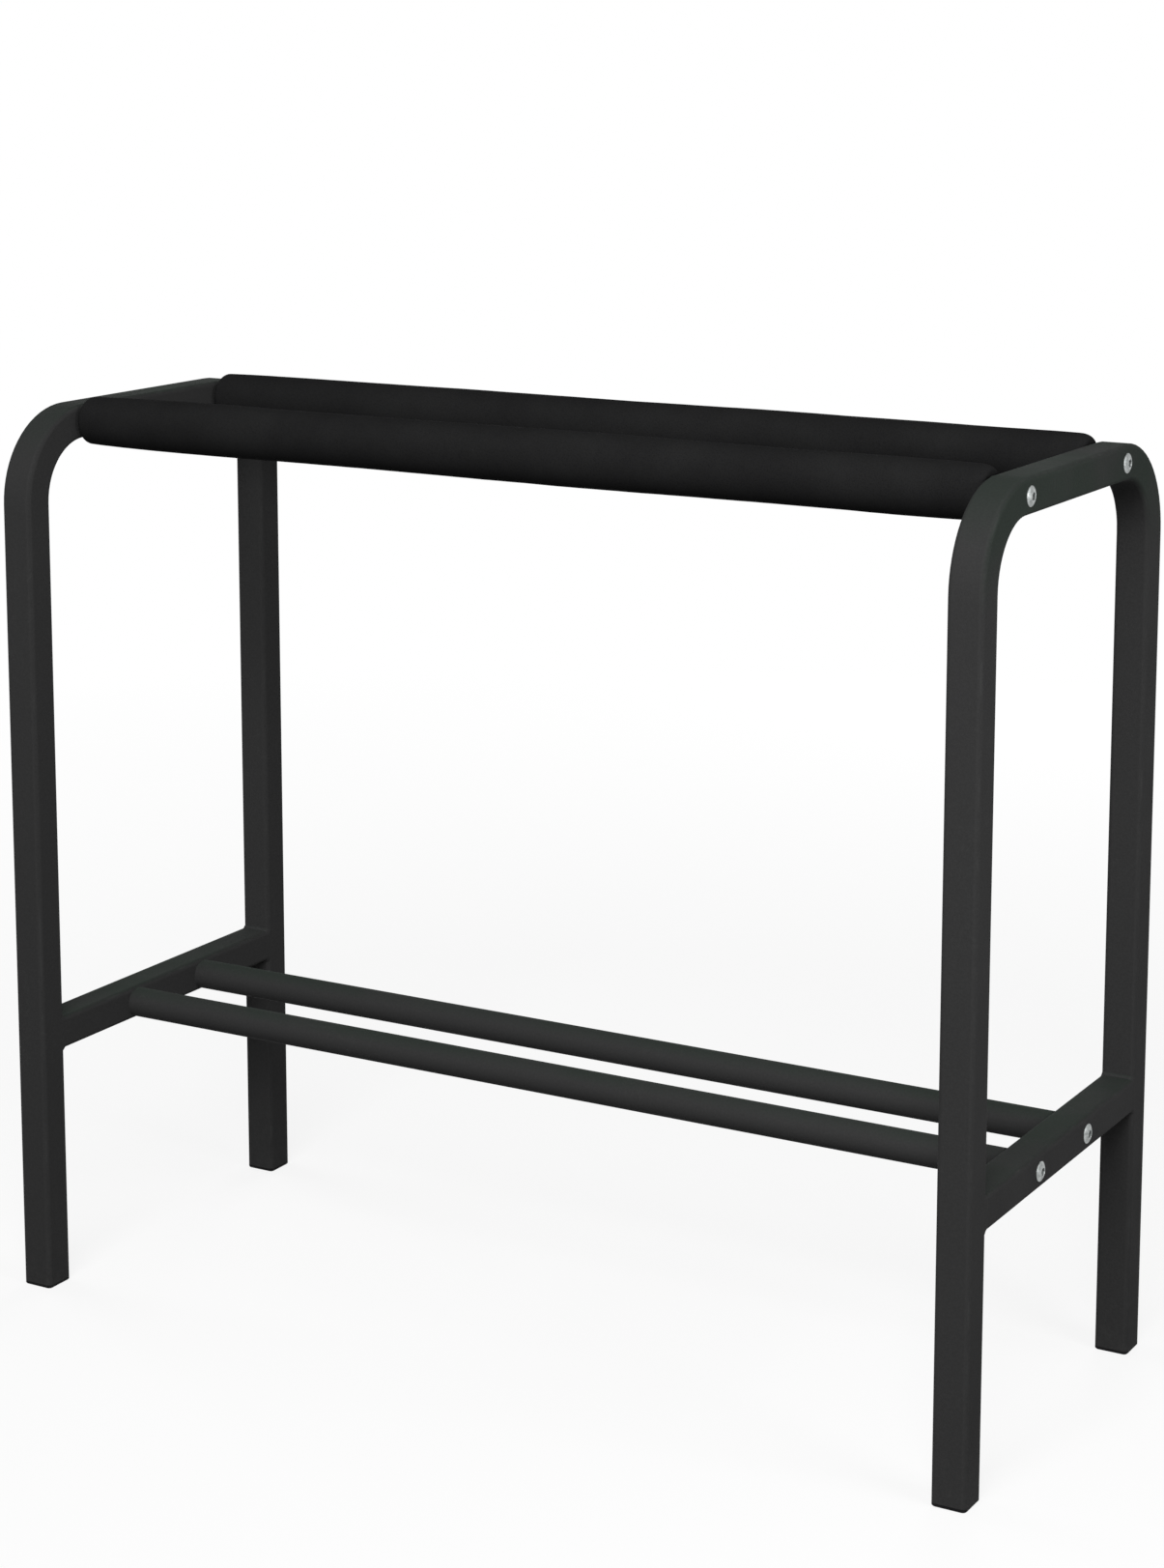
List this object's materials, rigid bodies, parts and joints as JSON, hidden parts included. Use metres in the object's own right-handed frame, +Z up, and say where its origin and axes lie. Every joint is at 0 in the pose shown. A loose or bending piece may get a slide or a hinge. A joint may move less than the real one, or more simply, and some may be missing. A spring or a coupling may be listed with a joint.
{
  "type": "racket display stand",
  "caption": "Free-standing black steel stand that holds rackets upright between sleeved top bars, with their grips between lower rails.",
  "frame": {"origin": "on the floor under the middle of the stand", "axes": "+X along the bars to the right as seen from the front, +Y to the back, +Z up"},
  "size_m": [0.624, 0.252, 0.539],
  "materials": {
    "powder_coat": "matt black powder coat",
    "sleeve_foam": "matt closed-cell foam with a smooth skin",
    "insert_steel": "zinc plated, hidden",
    "bolt_steel": "zinc plated, dull silver",
    "cap_plastic": "matt black moulded polyethylene"
  },
  "bodies": {
    "root": {"left_end_frame": "powder_coat", "left_lower_brace": "powder_coat", "front_left_weld": "powder_coat", "front_left_foot_cap": "cap_plastic", "rear_left_weld": "powder_coat", "rear_left_foot_cap": "cap_plastic", "right_end_frame": "powder_coat", "right_lower_brace": "powder_coat", "front_right_weld": "powder_coat", "front_right_foot_cap": "cap_plastic", "rear_right_weld": "powder_coat", "rear_right_foot_cap": "cap_plastic", "front_top_bar": "powder_coat", "front_top_sleeve": "sleeve_foam", "front_lower_rail": "powder_coat", "front_top_bar_left_insert": "insert_steel", "front_top_bar_left_bolt": "bolt_steel", "front_top_bar_right_insert": "insert_steel", "front_top_bar_right_bolt": "bolt_steel", "front_lower_rail_left_insert": "insert_steel", "front_lower_rail_left_bolt": "bolt_steel", "front_lower_rail_right_insert": "insert_steel", "front_lower_rail_right_bolt": "bolt_steel", "rear_top_bar": "powder_coat", "rear_top_sleeve": "sleeve_foam", "rear_lower_rail": "powder_coat", "rear_top_bar_left_insert": "insert_steel", "rear_top_bar_left_bolt": "bolt_steel", "rear_top_bar_right_insert": "insert_steel", "rear_top_bar_right_bolt": "bolt_steel", "rear_lower_rail_left_insert": "insert_steel", "rear_lower_rail_left_bolt": "bolt_steel", "rear_lower_rail_right_insert": "insert_steel", "rear_lower_rail_right_bolt": "bolt_steel"}
  },
  "joints": []
}
